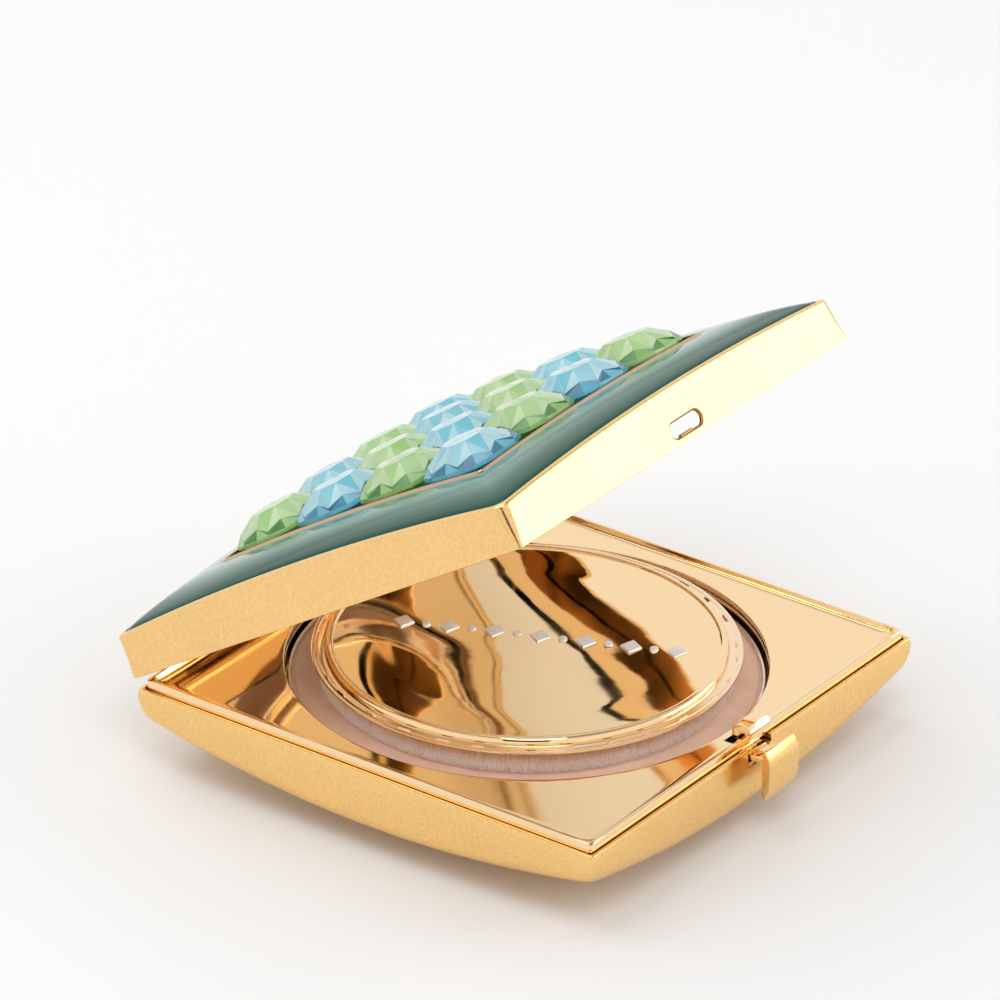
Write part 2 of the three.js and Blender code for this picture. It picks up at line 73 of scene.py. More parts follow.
HALF = (shell_high[0] - shell_low[0]) / 2
RIM = shell_high[2]
SHEET = 0.6 * MM  # thickness of the pressed shells
BASE_WALL = 0.75 * MM
RIM_LEAN = 0.25 * MM  # how far the base's rim leans in over its wall
RIM_SOFT = 0.12 * MM
CUSHION = 1.5 * MM  # radius of an upright corner at the dome
EDGE = 0.5 * MM  # radius of the same corner at the rim
LIP_OUT = (tray_high[0] - tray_low[0]) / 2
PLATE = tray_high[2] - 0.7 * MM
BASE_DOME = 145 * MM
FLAT = 11.4 * MM  # radius of the underside's flat
WELL_GAP = 0.4 * MM  # pan to well, all round

lid_hinge = joint("lid_hinge")
HINGE = np.array(lid_hinge["pos_m"])
OPEN = -math.radians(lid_hinge["range_deg"][0])
LATCH = np.array(joint("latch_rock")["pos_m"])
LID_HALF = HALF
LID_HEIGHT = 6.85 * MM
LID_DROP = 1.4 * MM
LID_BASE = RIM + 0.3 * MM
FIELD = 22.1 * MM
CROWN = 1.15 * MM
LID_RIM = 0.62 * MM  # bare metal between the lid's wall and the enamel
ENAMEL_DEEP = 1.05 * MM  # lid's top edge to the metal under the enamel
SLOT_WIDE, SLOT_TALL, SLOT_UP = 6.5 * MM, 2.4 * MM, 1.8 * MM
BEZEL = 0.24 * MM
GEM_FIELD, GEMS = 43.0 * MM, 4  # width of the crystals' square, and crystals along it
GEM_GAP = 0.2 * MM
GEM_TRAY = 0.4 * MM  # thickness of the tray under the crystals
TRAY_GAP = 0.3 * MM  # room under and over that tray

# Lid parts are drawn closed, with z from the lid's lower edge. This turns them open about the hinge.
LID = (
    Matrix.Translation(HINGE)
    @ Matrix.Rotation(-OPEN, 4, "X")
    @ Matrix.Translation((0, -HINGE[1], LID_BASE - HINGE[2]))
)

draw = np.random.default_rng(7)

# ---- meshes ----


def add_mesh(name, points, faces, body, material, smooth=True, crease=38, place=None):
    mesh = bpy.data.meshes.new(name)
    mesh.from_pydata(np.asarray(points).tolist(), [], [tuple(map(int, f)) for f in faces])
    mesh.validate()
    if smooth:
        mesh.shade_smooth()
        mesh.set_sharp_from_angle(angle=math.radians(crease))
    mesh.materials.append(material)
    obj = bpy.data.objects.new(name.replace(" ", "-"), mesh)
    bpy.context.scene.collection.objects.link(obj)
    if place is not None:
        mesh.transform(place)
    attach(obj, body)
    return obj


def lofted(rings, loop=False):
    """Points and faces that join rings of equal length. Ends are closed with a fan, unless it loops."""
    count = len(rings[0])
    points = [p for ring in rings for p in ring]
    faces = []
    turns = len(rings) if loop else len(rings) - 1
    for i in range(turns):
        a, b = i * count, ((i + 1) % len(rings)) * count
        for j in range(count):
            k = (j + 1) % count
            faces.append((a + j, a + k, b + k, b + j))
    if not loop:
        for end, flip in ((0, True), (len(rings) - 1, False)):
            centre = len(points)
            points.append(np.mean(rings[end], axis=0))
            at = end * count
            for j in range(count):
                k = (j + 1) % count
                faces.append((at + k, at + j, centre) if flip else (at + j, at + k, centre))
    return points, faces


def outward(points, faces):
    """The same faces, turned so that they look outwards."""
    p = np.asarray(points)
    volume = sum(
        np.dot(p[f[0]], np.cross(p[f[i]], p[f[i + 1]])) for f in faces for i in range(1, len(f) - 1)
    )
    return faces if volume > 0 else [tuple(reversed(f)) for f in faces]


def square_ring(half, corner, side=26, bend=7):
    """Points round a square with rounded corners, the same number for any size."""
    corner = min(corner, half)
    straight = half - corner
    ring = []
    for turn in range(4):
        c, s = round(math.cos(turn * math.pi / 2)), round(math.sin(turn * math.pi / 2))
        piece = [(half, straight * (2 * i / side - 1)) for i in range(side)]
        for i in range(bend):
            a = (i / bend) * math.pi / 2
            piece.append((straight + corner * math.cos(a), straight + corner * math.sin(a)))
        ring += [(x * c - y * s, x * s + y * c) for x, y in piece]
    return np.array(ring)


def round_ring(radius, like):
    """Points round a circle, each on the ray through a point of another ring."""
    return like / np.linalg.norm(like, axis=1)[:, None] * radius


def level(ring, height):
    return np.column_stack([ring, np.full(len(ring), height)])


def domed(ring, height, drop, share=1.0):
    return np.column_stack([ring, height - share * drop(ring[:, 0], ring[:, 1])])


def turned(profile, segments=160):
    """A closed round form from [radius, height] points that start and end on the axis, or a loop."""
    angles = np.linspace(0, 2 * math.pi, segments, endpoint=False)
    unit = np.column_stack([np.cos(angles), np.sin(angles)])
    rings = [level(unit * r, z) for r, z in profile if r > 0]
    loop = profile[0][0] > 0
    points, faces = lofted(rings, loop)
    return points, outward(points, faces)


def boxed(low, high):
    x, y, z = zip(low, high)
    points = [(x[i], y[j], z[k]) for i in (0, 1) for j in (0, 1) for k in (0, 1)]
    faces = [(0, 1, 3, 2), (4, 6, 7, 5), (0, 4, 5, 1), (2, 3, 7, 6), (0, 2, 6, 4), (1, 5, 7, 3)]
    return points, outward(points, faces)


def cut(obj, points, faces, place=None):
    """Takes a solid away from a piece, for good."""
    mesh = bpy.data.meshes.new("cutter")
    mesh.from_pydata(np.asarray(points).tolist(), [], [tuple(map(int, f)) for f in faces])
    if place is not None:
        mesh.transform(place)
    cutter = bpy.data.objects.new("cutter", mesh)
    bpy.context.scene.collection.objects.link(cutter)
    boolean = obj.modifiers.new("cut", "BOOLEAN")
    boolean.operation, boolean.solver, boolean.object = "DIFFERENCE", "EXACT", cutter
    baked(obj)
    bpy.data.objects.remove(cutter)


def baked(obj, crease=38):
    """Makes a piece's modifiers part of its mesh."""
    bpy.context.view_layer.update()
    graph = bpy.context.evaluated_depsgraph_get()
    made = bpy.data.meshes.new_from_object(obj.evaluated_get(graph))
    obj.modifiers.clear()
    obj.data = made
    made.shade_smooth()
    made.set_sharp_from_angle(angle=math.radians(crease))


def bevelled(obj, width, segments=3, angle=35):
    bevel = obj.modifiers.new("edges", "BEVEL")
    bevel.width, bevel.segments = width, segments
    bevel.limit_method, bevel.angle_limit = "ANGLE", math.radians(angle)
    bevel.harden_normals = False
    return obj


# ---- materials ----


class Socket:
    """A node's output, with arithmetic that adds Math nodes."""

    def __init__(self, look, out):
        self.look, self.out = look, out

    def _math(self, operation, a, b):
        return self.look.add("ShaderNodeMath", {"operation": operation}, {0: a, 1: b})

    def __add__(self, other):
        return self._math("ADD", self, other)

    def __radd__(self, other):
        return self._math("ADD", other, self)

    def __sub__(self, other):
        return self._math("SUBTRACT", self, other)

    def __rsub__(self, other):
        return self._math("SUBTRACT", other, self)

    def __mul__(self, other):
        return self._math("MULTIPLY", self, other)

    def __rmul__(self, other):
        return self._math("MULTIPLY", other, self)


class Look:
    """A material under construction: a node tree with one shader."""

    def __init__(self, name, **settings):
        self.material = bpy.data.materials.new(name)
        self.material.use_nodes = True
        self.nodes = self.material.node_tree.nodes
        self.links = self.material.node_tree.links
        self.shader = self.nodes["Principled BSDF"]
        self.set(**settings)

    def set(self, **settings):
        for key, value in settings.items():
            self.feed(self.shader.inputs[key.replace("_", " ")], value)
        return self

    def feed(self, socket, value):
        if isinstance(value, Socket):
            self.links.new(value.out, socket)
        elif isinstance(value, (tuple, list)) and len(value) == 3 and socket.type == "RGBA":
            socket.default_value = (*value, 1)
        else:
            socket.default_value = value

    def add(self, kind, settings=None, inputs=None, output=0):
        node = self.nodes.new(kind)
        for key, value in (settings or {}).items():
            setattr(node, key, value)
        for key, value in (inputs or {}).items():
            self.feed(node.inputs[key], value)
        return Socket(self, node.outputs[output])

    def place(self, scale=(1, 1, 1)):
        spot = self.add("ShaderNodeTexCoord", output=3)
        return self.add("ShaderNodeMapping", {}, {"Vector": spot, "Scale": scale})

    def noise(self, scale, detail=3.0, rough=0.5, stretch=(1, 1, 1), warp=0.0):
        return self.add(
            "ShaderNodeTexNoise",
            {},
            {"Vector": self.place(stretch), "Scale": scale, "Detail": detail, "Roughness": rough,
             "Distortion": warp},
        )

    def ramp(self, value, low, high, out_low=0.0, out_high=1.0):
        return self.add(
            "ShaderNodeMapRange",
            {"interpolation_type": "SMOOTHSTEP"},
            {"Value": value, "From Min": low, "From Max": high, "To Min": out_low, "To Max": out_high},
        )

    def mix(self, factor, a, b):
        node = self.nodes.new("ShaderNodeMix")
        node.data_type = "RGBA"
        self.feed(node.inputs[0], factor)
        self.feed(node.inputs[6], a)
        self.feed(node.inputs[7], b)
        return Socket(self, node.outputs[2])

    def bump(self, height, strength, distance):
        return self.add(
            "ShaderNodeBump", {}, {"Height": height, "Strength": strength, "Distance": distance}
        )


def satin_gold(name="satin gold", tone=(0.93, 0.60, 0.235), rough=0.24):
    look = Look(name, Metallic=1.0)
    grain = look.noise(2400, 2, 0.6)
    cloud = look.noise(70, 4, 0.6)
    dark, pale = (tuple(min(1, c * share) for c in tone) for share in (0.93, 1.05))
    look.set(
        Base_Color=look.mix(look.ramp(cloud * 0.3 + grain * 0.7, 0.35, 0.65), dark, pale),
        Roughness=look.ramp(cloud, 0.3, 0.7, rough - 0.05, rough + 0.07),
        Normal=look.bump(grain + cloud * 0.6, 0.24, 0.00002),
    )
    return look.material


def mirror_gold(name="mirror gold", tone=(0.94, 0.69, 0.40), wave=0.0, rough=0.05, ragged=0.02):
    look = Look(name, Metallic=1.0)
    smear = look.noise(160, 4, 0.6, (1, 0.3, 1))
    swell = look.noise(55, 1.5, 0.45, warp=0.6)
    look.set(
        Base_Color=tone,
        Roughness=look.ramp(smear, 0.35, 0.8, rough, rough + 0.05),
        Normal=look.bump(swell + smear * ragged, 0.25 + wave, 0.0004 * (0.12 + wave)),
    )
    return look.material


def crystal_glass(name, pale, full, deep):
    """Cut glass on foil in its own tint: each facet carries painted light and shade, from a pale lit
    tint to a deep shaded one, kept on the mesh as a face attribute.
    """
    look = Look(name, IOR=1.6, Transmission_Weight=0.45, Coat_Weight=0.3, Coat_Roughness=0.0)
    depth = look.add("ShaderNodeAttribute", {"attribute_name": "depth"}, {}, 2)
    cloud = look.noise(420, 2, 0.5)
    depth = depth + (cloud - 0.5) * 0.16
    near = look.mix(look.ramp(depth, 0.0, 0.5), pale, full)
    look.set(
        Base_Color=look.mix(look.ramp(depth, 0.5, 1.0), near, deep),
        Roughness=look.ramp(cloud, 0.5, 0.8, 0.0, 0.04),
    )
    return look.material


def enamel_glaze():
    """Green enamel, darker towards the lid's edge and paler up by the crystals."""
    look = Look("green enamel", Specular_IOR_Level=0.1, Coat_Roughness=0.03)
    run = look.add("ShaderNodeAttribute", {"attribute_name": "run"}, {}, 2)
    cloud, speck = look.noise(60, 3, 0.5), look.noise(1500, 2, 0.5)
    # The colour goes from dark at the lid's edge to pale by the crystals.
    thin = look.ramp(run + (cloud - 0.5) * 0.12, 0.0, 1.0)
    look.set(
        Base_Color=look.mix(thin, (0.012, 0.07, 0.045), (0.16, 0.31, 0.24)),
        Coat_Weight=look.ramp(run, 0.3, 1.0, 0.0, 0.5),
        Roughness=look.ramp(speck, 0.4, 0.8, 0.05, 0.12),
        Normal=look.bump(cloud, 0.02, 0.0002),
    )
    return look.material


def pressed_powder():
    look = Look("pressed powder", Roughness=0.95)
    # The faint emission is painted light, brightening the powder in the shade of the puff.
    look.set(Emission_Strength=0.03, Emission_Color=(0.95, 0.6, 0.44))
    fine, coarse = look.noise(2600, 3, 0.7), look.noise(240, 4, 0.6)
    look.set(
        Base_Color=look.mix(look.ramp(coarse, 0.3, 0.75), (0.88, 0.59, 0.44), (0.95, 0.68, 0.52)),
        Normal=look.bump(fine + coarse * 2.0, 0.5, 0.00012),
        Sheen_Weight=0.2,
    )
    return look.material


def velour(name, low, high):
    """Short upright pile in fine uneven tufts, pale lower down, with a painted reflection of the gold
    flange that turns it warm towards its top, and a faint glow that is painted light.
    """
    # The emission is painted light: a faint glow in the pile's own colours, lifting it out of the
    # flange's shade.
    look = Look(name, Roughness=0.9, Sheen_Weight=0.8, Sheen_Roughness=0.4, Emission_Strength=0.05)
    tuft = look.noise(1500, 3, 0.7)
    clump = look.noise(3200, 3, 0.6, (1, 1, 0.08))
    height = look.add("ShaderNodeSeparateXYZ", {}, {0: look.add("ShaderNodeTexCoord", output=3)}, 2)
    # Painted reflection: the pile's colour turns from pale to warm gold towards its top, under the gold
    # flange.
    up = look.ramp(height, pile_low[2] + 0.0008, pile_high[2] - 0.0001)
    tone = look.mix(up + (clump - 0.5) * 2.2 + (tuft - 0.5) * 0.6, low, high)
    look.set(Base_Color=tone, Emission_Color=tone, Normal=look.bump(tuft + clump, 0.8, 0.0003))
    return look.material


def plain_metal(name, tone, rough):
    look = Look(name, Metallic=1.0, Base_Color=tone)
    line = look.noise(500, 3, 0.6, (0.1, 1, 1))
    look.set(
        Roughness=look.ramp(line, 0.3, 0.7, rough * 0.8, rough * 1.3),
        Normal=look.bump(line, 0.15, 0.00003),
    )
    return look.material


def mirror_silver():
    look = Look("silvered glass", Metallic=1.0, Base_Color=(0.93, 0.94, 0.94))
    dust = look.noise(700, 3, 0.7)
    look.set(Roughness=look.ramp(dust, 0.6, 0.85, 0.0, 0.08))
    return look.material


def grey_card():
    look = Look("grey card", Roughness=0.95)
    fibre = look.noise(900, 4, 0.7, (1, 0.2, 1))
    look.set(
        Base_Color=look.mix(fibre, (0.22, 0.2, 0.18), (0.32, 0.3, 0.27)),
        Normal=look.bump(fibre, 0.5, 0.0001),
    )
    return look.material


SATIN = satin_gold()
LID_GOLD = satin_gold("lid gold", (0.93, 0.60, 0.25), 0.2)
BRIGHT = mirror_gold()
FOIL = mirror_gold("puff foil", (0.94, 0.68, 0.39), 0.3, 0.03, 0.09)
FLANGE = mirror_gold("flange film", (0.94, 0.70, 0.48), 0.15, 0.16)
ROSE = mirror_gold("bezel gold", (0.60, 0.42, 0.28), 0.0, 0.12)
SILVER = plain_metal("crystal foil", (0.93, 0.94, 0.95), 0.08)
STEEL = plain_metal("steel", (0.62, 0.62, 0.6), 0.3)
# Dark brass is painted shade, for the slot's edge and ledge, which lie in shadow.
SHADE_BRASS = plain_metal("shaded brass", (0.42, 0.24, 0.09), 0.3)
TIN = plain_metal("pan tin", (0.82, 0.78, 0.72), 0.3)
# Each crystal's three colours are its own tint, made pale by painted light and deep by painted shade.
GREEN = crystal_glass("green crystal", (0.76, 0.93, 0.58), (0.42, 0.74, 0.22), (0.02, 0.24, 0.015))
BLUE = crystal_glass("blue crystal", (0.66, 0.95, 0.99), (0.19, 0.68, 0.84), (0.0, 0.18, 0.36))

# ---- base ----


def base_rise(x, y):
    return np.maximum(0, (x * x + y * y - FLAT * FLAT) / (2 * BASE_DOME))


def base_skin(half, floor, top, lean=0.0, turn=1.6 * MM):
    """Rings from the middle of the underside up to the rim, which may lean in."""
    rings = []
    for part in (0.02, 0.12, 0.24, 0.33, 0.42, 0.52, 0.62, 0.72, 0.81, 0.89, 1.0):
        ring = square_ring(part * (half - turn), CUSHION * part)
        rings.append(domed(ring, floor, lambda x, y: -base_rise(x, y)))
    for i in range(1, 8):
        a = i / 7 * math.pi / 2
        ring = square_ring(half - turn + turn * math.sin(a), CUSHION * (1 + 0.1 * math.sin(a)))
        rings.append(domed(ring, floor + turn * (1 - math.cos(a)), lambda x, y: -base_rise(x, y)))
    last = rings[-1]
    for part in (0.12, 0.3, 0.5, 0.7, 0.92):
        ring = square_ring(half - lean * part**3, EDGE * 0.8 + (CUSHION - EDGE * 0.8) * (1 - part) ** 2)
        rings.append(np.column_stack([ring, last[:, 2] * (1 - part) + (top - RIM_SOFT) * part]))
    rings.append(level(square_ring(half - lean, EDGE * 0.8), top - RIM_SOFT))
    return rings


def base_shell():
    outside = base_skin(HALF, 0, RIM, RIM_LEAN)
    inside = base_skin(HALF - BASE_WALL, SHEET, RIM)
    rim = HALF - RIM_LEAN
    edge = [
        level(square_ring(rim - RIM_SOFT * 0.35, EDGE * 0.8), RIM - RIM_SOFT * 0.3),
        level(square_ring(rim - RIM_SOFT, EDGE * 0.7), RIM),
        level(square_ring(HALF - BASE_WALL + RIM_SOFT, EDGE), RIM),
    ]
    points, faces = lofted(outside + edge + inside[::-1])
    obj = add_mesh("base shell", points, outward(points, faces), "base", SATIN)
    gate = 2.4 * MM
    low = (LATCH[0] - gate, -HALF - MM, RIM - gate)
    high = (LATCH[0] + gate, -HALF + 1.4 * MM, RIM + MM)
    cut(obj, *boxed(low, high))
    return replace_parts(obj, "base_shell")


def inner_tray():
    bore = pan_high[0] + WELL_GAP
    lip_in = LIP_OUT - SHEET
    top = tray_high[2]
    like = square_ring(LIP_OUT, EDGE)
    rings = [
        level(round_ring(bore + SHEET, like), cake_low[2]),
        level(round_ring(bore + SHEET, like), PLATE - SHEET),
        level(square_ring(LIP_OUT, EDGE), PLATE - SHEET),
        level(square_ring(LIP_OUT, EDGE), top - 0.25 * MM),
        level(square_ring(LIP_OUT - 0.08 * MM, EDGE * 1.5), top - 0.08 * MM),
        level(square_ring(LIP_OUT - 0.25 * MM, EDGE * 1.8), top),
        level(square_ring(lip_in + 0.12 * MM, EDGE * 1.8), top - 0.04 * MM),
        level(square_ring(lip_in, EDGE * 1.8), top - 0.2 * MM),
    ]
    bend = 0.95 * MM
    for i in range(5):
        a = i / 4 * math.pi / 2
        ring = square_ring(lip_in - bend + bend * math.cos(a), EDGE * (1.8 + i / 3))
        rings.append(level(ring, PLATE + 0.5 * MM * (1 - math.sin(a))))
    for part in (0.94, 0.8, 0.6, 0.4, 0.2, 0.06):
        blend = like * ((lip_in - bend) / LIP_OUT) * part
        blend = blend + round_ring(bore + 0.3 * MM, like) * (1 - part)
        rings.append(level(blend, PLATE))
    edge = 0.22 * MM
    for i in range(5):
        a = i / 4 * math.pi / 2
        ring = round_ring(bore + edge * (1 - math.sin(a)), like)
        rings.append(level(ring, PLATE - edge * (1 - math.cos(a))))
    for down, out in ((0.7, 0.0), (0.78, 0.05), (0.9, 0.05), (0.98, 0.0), (1.3, 0.0)):
        rings.append(level(round_ring(bore + out * MM, like), PLATE - down * MM))
    rings.append(level(round_ring(bore, like), cake_low[2]))
    points, faces = lofted(rings, loop=True)
    obj = add_mesh("inner tray", points, outward(points, faces), "base", BRIGHT, crease=30)
    wide, deep = 3.0 * MM, 1.75 * MM
    low = (LATCH[0] - wide, -lip_in - 0.01 * MM, PLATE - MM)
    high = (LATCH[0] + wide, -lip_in + deep, PLATE + MM)
    cut(obj, *boxed(low, high))
    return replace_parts(obj, "inner_tray")


def powder_pan():
    out = (pan_high[0] - pan_low[0]) / 2
    wall, low, top = 0.4 * MM, pan_low[2], pan_high[2]
    profile = [(0, low), (out, low), (out, top - 0.1 * MM), (out - 0.1 * MM, top),
               (out - wall + 0.1 * MM, top), (out - wall, top - 0.1 * MM), (out - wall, low + wall),
               (0, low + wall)]
    points, faces = turned(profile)
    obj = add_mesh("powder pan", points, faces, "base", TIN)
    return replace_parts(obj, "powder_pan")


def powder_cake():
    out = (cake_high[0] - cake_low[0]) / 2
    low, top = cake_low[2], cake_high[2]
    profile = [(0, low), (out, low), (out, top - 0.35 * MM)]
    for i in range(5):
        a = i / 4 * math.pi / 2
        profile.append((out - 0.4 * MM * math.sin(a) - 0.02 * MM, top - 0.35 * MM * math.cos(a)))
    count = 34
    for i in range(1, count):
        profile.append(((out - 0.42 * MM) * (1 - i / count), top))
    profile.append((0, top))
    points, faces = turned(profile, 220)
    points = np.array(points)
    worn = np.linalg.norm(points[:, :2], axis=1) < out - 0.3 * MM
    high = points[:, 2] > top - 0.2 * MM
    ripple = 0.04 * MM * np.sin(points[:, 0] * 900 + 2 * np.sin(points[:, 1] * 500))
    points[:, 2] -= np.where(worn & high, 0.05 * MM + ripple, 0)
    obj = add_mesh("powder cake", points, faces, "base", pressed_powder())
    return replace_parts(obj, "powder_cake")


# ---- puff ----


def puff_pile():
    out = (pile_high[0] - pile_low[0]) / 2
    low, top = pile_low[2], pile_high[2]
    tall = top - low
    body = out - 0.75 * MM
    profile = [(0, low)]
    for i in range(13):
        a = -math.pi / 2 + i / 12 * math.pi
        profile.append((body - 0.7 * MM + 0.7 * MM * math.cos(a), low + tall / 2 * (1 + math.sin(a))))
    profile.append((0, top))
    points, faces = turned(profile, 260)
    points = np.array(points)
    angle = np.arctan2(points[:, 1], points[:, 0])
    lumps = 1 + 0.004 * np.sin(9 * angle + 1) + 0.003 * np.sin(23 * angle) + 0.002 * np.sin(61 * angle)
    points[:, :2] *= lumps[:, None]
    # The second colour is the painted reflection of the gold flange, on the pile's top.
    wool = velour("puff pile", (0.98, 0.84, 0.76), (0.80, 0.42, 0.16))
    obj = add_mesh("puff pile", points, faces, "puff", wool)
    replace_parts(obj, "puff_pile")
    fibres(out, low, top, wool)
    return obj


def fibres(out, low, top, wool):
    """Short bent hairs that stand out all round the pile."""
    points, faces = [], []
    count = 21000
    tall = top - low
    for _ in range(count):
        angle = draw.uniform(0, 2 * math.pi)
        up = draw.uniform(0.02, 0.98)
        bulge = math.sin(math.pi * min(0.98, max(0.02, up)))
        root = out - 1.15 * MM + 0.45 * MM * bulge
        long = draw.uniform(0.8, 1.15) * (0.75 + 0.35 * bulge) * MM
        lift = -1.5 + draw.normal(0, 0.5)
        lean = draw.normal(0, 0.16)
        radial = np.array([math.cos(angle), math.sin(angle), 0])
        side = np.array([-math.sin(angle), math.cos(angle), 0])
        way = radial + side * lean + np.array([0, 0, lift * 0.5])
        way /= np.linalg.norm(way)
        start = radial * root + np.array([0, 0, low + tall * up])
        droop = np.array([0, 0, -0.12 * MM * draw.uniform(0, 1)])
        middle = start + way * long * 0.55
        end = start + way * long + droop + side * draw.normal(0, 0.08) * MM
        for spot in (start, middle, end):
            spot[2] = min(top - 0.03 * MM, max(low + 0.03 * MM, spot[2]))
        thin = draw.uniform(0.022, 0.04) * MM
        at = len(points)
        for spot, width in ((start, thin), (middle, thin * 0.8)):
            points += [spot + side * width, spot + np.array([0, 0, width]), spot - side * width]
        points.append(end)
        for i in range(3):
            k = (i + 1) % 3
            faces.append((at + i, at + k, at + 3 + k, at + 3 + i))
            faces.append((at + 3 + i, at + 3 + k, at + 6))
    obj = add_mesh("puff fibres", points, faces, "puff", wool)
    return obj


def puff_cover():
    out = (cover_high[0] - cover_low[0]) / 2
    panel = out - 2.7 * MM
    ridge = 1.1 * MM
    low, top = cover_low[2], cover_high[2]
    flange = low + 0.3 * MM
    dish = top - 0.2 * MM
    groove = flange - 0.07 * MM
    profile = [(0, low), (out - 0.1 * MM, low), (out, low + 0.08 * MM)]
    profile += [(out - 0.02 * MM, flange - 0.05 * MM), (out - 0.12 * MM, flange)]
    profile += [(out - 0.5 * MM, flange), (out - 0.62 * MM, groove)]
    profile += [(out - 0.95 * MM, groove), (out - 1.05 * MM, flange), (panel + ridge, flange)]
    for i in range(1, 15):
        a = i / 14 * math.pi
        tall = top - flange if a < math.pi / 2 else top - dish
        base = flange if a < math.pi / 2 else dish
        profile.append((panel + ridge / 2 * (1 + math.cos(a)), base + tall * math.sin(a)))
    count = 40
    for i in range(1, count):
        profile.append((panel * (1 - i / count), dish))
    profile.append((0, dish))
    points, faces = turned(profile, 288)
    points = np.array(points)
    r = np.linalg.norm(points[:, :2], axis=1)
    x, y = points[:, 0], points[:, 1]
    drape = np.sin(x * 170 + 1.2 * np.sin(y * 110)) * 0.5 + np.sin(y * 230 - x * 140 + 1) * 0.35
    drape += np.sin((x - 0.6 * y) * 520 + 2.4 * np.sin(x * 240 + y * 150)) * 0.05
    inside = np.clip((panel - 0.4 * MM - r) / (5 * MM), 0, 1) * (points[:, 2] > flange)
    points[:, 2] += (drape - 0.5) * 0.16 * MM * inside
    obj = add_mesh("puff cover", points, faces, "puff", FOIL, crease=50)
    obj.data.materials.append(FLANGE)
    for face in obj.data.polygons:
        centre = face.center
        if math.hypot(centre.x, centre.y) > panel + ridge:
            face.material_index = 1
    weld_marks(out - 0.78 * MM, flange)
    ornament_band(dish)
    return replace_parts(obj, "puff_cover")


def weld_marks(radius, height):
    """Short raised dashes pressed round the flange."""
    points, faces = [], []
    for i in range(30):
        angle = i / 30 * 2 * math.pi + draw.normal(0, 0.02)
        long, wide = 0.9 * MM * draw.uniform(0.6, 1.2), 0.1 * MM
        along = np.array([-math.sin(angle), math.cos(angle), 0])
        out = np.array([math.cos(angle), math.sin(angle), 0])
        spot = out * radius + np.array([0, 0, height - 0.09 * MM])
        at = len(points)
        for dz, k in ((0, 1.0), (0.2 * MM, 0.55)):
            for a, b in ((-1, -1), (1, -1), (1, 1), (-1, 1)):
                points.append(spot + along * a * long * k + out * b * wide * k + np.array([0, 0, dz]))
        faces.append((at + 4, at + 5, at + 6, at + 7))
        for j in range(4):
            k = (j + 1) % 4
            faces.append((at + j, at + k, at + 4 + k, at + 4 + j))
    obj = add_mesh("weld marks", points, faces, "puff", FLANGE)
    return obj


def ornament_band(height):
    """A plain row of lozenges and dots pressed in pale relief across the cover."""
    points, faces = [], []
    tilt = math.radians(-66)
    along = np.array([math.cos(tilt), math.sin(tilt)])
    over = np.array([-along[1], along[0]])
    for i in range(13):
        centre = np.array([1.9, -0.5]) * MM + along * (i - 6) * 2.75 * MM
        sides, reach = (4, 1.35 * MM) if i % 2 == 0 else (16, 0.55 * MM)
        for k, (scale, lift) in enumerate(((1.0, -0.1 * MM), (0.9, 0.12 * MM), (0.3, 0.17 * MM))):
            for j in range(sides):
                a = j / sides * 2 * math.pi
                spot = centre + reach * scale * (along * math.cos(a) + over * math.sin(a) * 1.2)
                points.append((*spot, height + lift))
        at = len(points) - 3 * sides
        for k in range(2):
            for j in range(sides):
                n = (j + 1) % sides
                a, b = at + k * sides, at + (k + 1) * sides
                faces.append((a + j, a + n, b + n, b + j))
        faces.append(tuple(at + 2 * sides + j for j in range(sides)))
    pale = plain_metal("relief", (0.95, 0.92, 0.89), 0.45)
    obj = add_mesh("relief band", points, faces, "puff", pale, crease=20)
    return obj


# ---- latch ----


def strip(name, outline, wide, body, material, place, round_to):
    """A sheet-metal section drawn in Y and Z, stretched along X and softened at its edges."""
    outline = np.array(outline)
    rings = []
    for x in (-wide / 2, wide / 2):
        rings.append(np.column_stack([np.full(len(outline), x), outline]))
    points = np.vstack(rings)
    n = len(outline)
    faces = [(i, (i + 1) % n, n + (i + 1) % n, n + i) for i in range(n)]
    faces += [tuple(reversed(range(n))), tuple(range(n, 2 * n))]
    obj = add_mesh(name, points, outward(points, faces), body, material, place=Matrix.Translation(place))
    bevelled(obj, round_to)
    baked(obj, 50)
    return obj


def arc(centre, radius, start, end, count):
    angles = np.radians(np.linspace(start, end, count))
    return [(centre[0] + radius * math.cos(a), centre[1] + radius * math.sin(a)) for a in angles]


